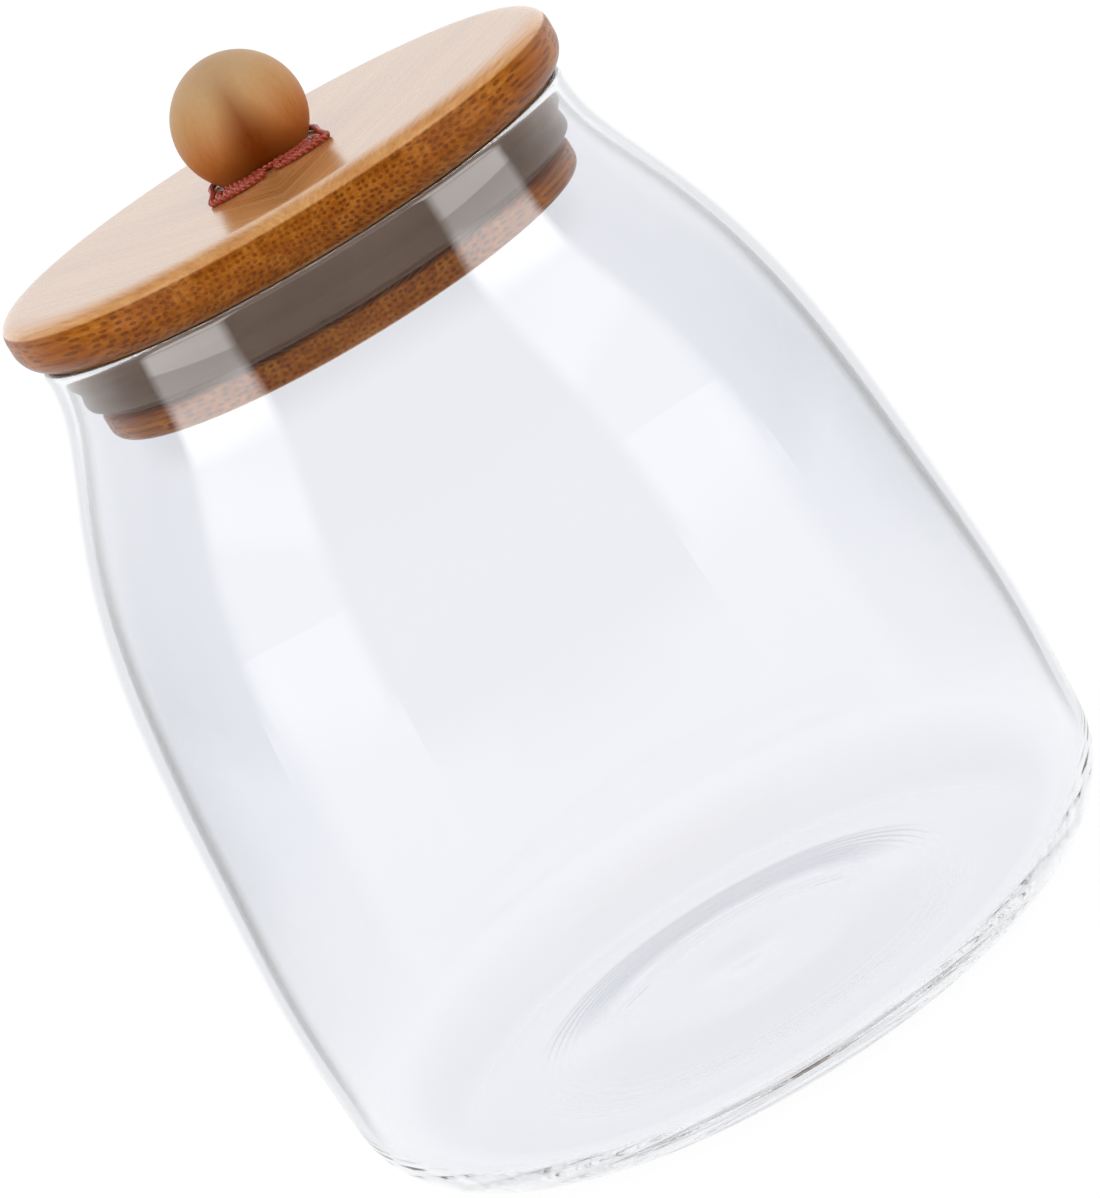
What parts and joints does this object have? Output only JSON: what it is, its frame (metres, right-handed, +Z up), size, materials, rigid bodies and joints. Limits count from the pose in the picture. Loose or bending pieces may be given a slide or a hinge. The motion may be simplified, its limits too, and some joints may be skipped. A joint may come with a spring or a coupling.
{
  "type": "food canister",
  "caption": "Rounded blown-glass storage canister with a bamboo plug lid, a silicone seal ring and a ball knob tied with red cord.",
  "frame": {"origin": "middle of the base, on the surface that the canister stands on", "axes": "+Z up along the canister's axis; -Y towards the viewer, where the knob's cord ends meet"},
  "size_m": [0.155, 0.155, 0.1978],
  "materials": {
    "glass": "clear, smooth, blown",
    "bamboo": "laminated bamboo, satin lacquer",
    "silicone": "milky translucent, satin",
    "knob_wood": "turned wood, satin lacquer",
    "red_cord": "waxed twisted cord, glossy",
    "steel": "zinc plated"
  },
  "bodies": {
    "jar": {"glass_jar": "glass"},
    "lid": {"lid_plate": "bamboo", "lid_plug": "bamboo", "seal_ring": "silicone", "knob_ball": "knob_wood", "knob_cord": "red_cord", "knob_screw": "steel"}
  },
  "joints": [
    {"name": "lid_lift", "type": "slide", "parent": "jar", "child": "lid", "axis": [0, 0, 1], "range_m": [0, 0.1]}
  ]
}
